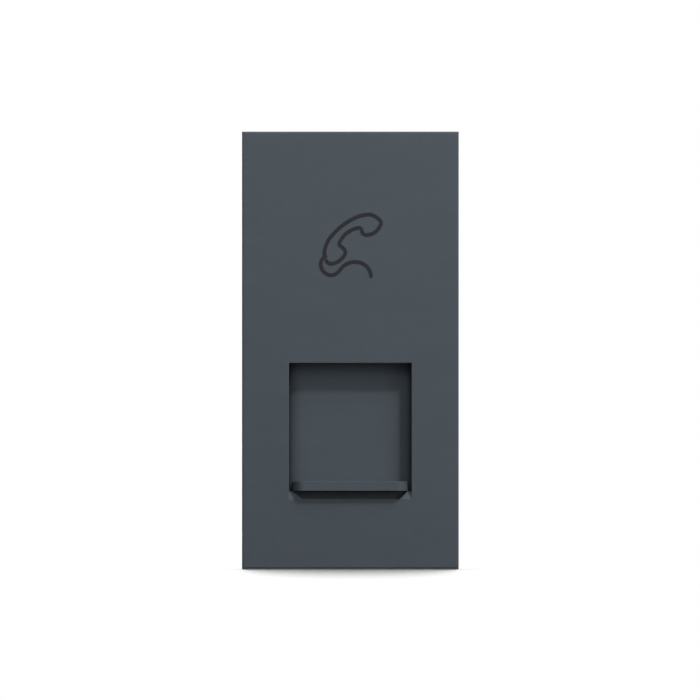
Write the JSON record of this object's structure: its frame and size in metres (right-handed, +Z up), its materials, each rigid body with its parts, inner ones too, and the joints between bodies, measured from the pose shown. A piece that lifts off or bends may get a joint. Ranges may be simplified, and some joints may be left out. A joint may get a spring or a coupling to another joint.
{
  "type": "telephone wall socket",
  "caption": "Modular telephone wall socket insert with a sprung sliding dust shutter over its plug opening and screw terminals behind.",
  "frame": {"origin": "centre of the plane where the front cover's rear rim seats on the mounting frame", "axes": "+X to the right seen from the front, +Y back into the wall, +Z up"},
  "size_m": [0.0222, 0.0316, 0.0448],
  "materials": {
    "anthracite_plastic": "fine spark-eroded grain",
    "mark_ink": "printed, matt",
    "spring_steel": "drawn wire, bright",
    "black_plastic": "moulded, fine grain",
    "jack_plastic": "moulded, satin",
    "grey_plastic": "moulded, fine grain",
    "board_laminate": "solder mask over glass laminate",
    "solder": "bright solder",
    "contact_gold": "gold plated, bright",
    "terminal_brass": "machined brass",
    "zinc_steel": "zinc plated"
  },
  "bodies": {
    "case": {"front_cover": "anthracite_plastic", "telephone_mark": "mark_ink", "shutter_spring": "spring_steel", "shutter_guide": "black_plastic", "terminal_block_upper": "black_plastic", "terminal_block_lower": "black_plastic", "jack_body": "jack_plastic", "jack_insert": "jack_plastic", "housing": "grey_plastic", "rear_cover": "grey_plastic", "circuit_board": "board_laminate", "solder_joints": "solder", "jack_contact_1": "contact_gold", "jack_contact_2": "contact_gold", "jack_contact_3": "contact_gold", "jack_contact_4": "contact_gold", "jack_contact_5": "contact_gold", "jack_contact_6": "contact_gold", "terminal_cage_1": "terminal_brass", "terminal_cage_2": "terminal_brass", "terminal_cage_3": "terminal_brass", "terminal_cage_4": "terminal_brass", "terminal_cage_5": "terminal_brass", "terminal_cage_6": "terminal_brass", "case_screws": "zinc_steel", "terminal_screw_1": "zinc_steel", "terminal_screw_2": "zinc_steel", "terminal_screw_3": "zinc_steel", "terminal_screw_4": "zinc_steel", "terminal_screw_5": "zinc_steel", "terminal_screw_6": "zinc_steel"},
    "shutter": {"dust_shutter": "anthracite_plastic"}
  },
  "joints": [
    {"name": "shutter_slide", "type": "slide", "parent": "case", "child": "shutter", "axis": [0, 0, 1], "range_m": [0, 0.01207], "stiffness_N_per_m": 220, "springref_m": -0.0036, "deforming": ["shutter_spring"]}
  ]
}
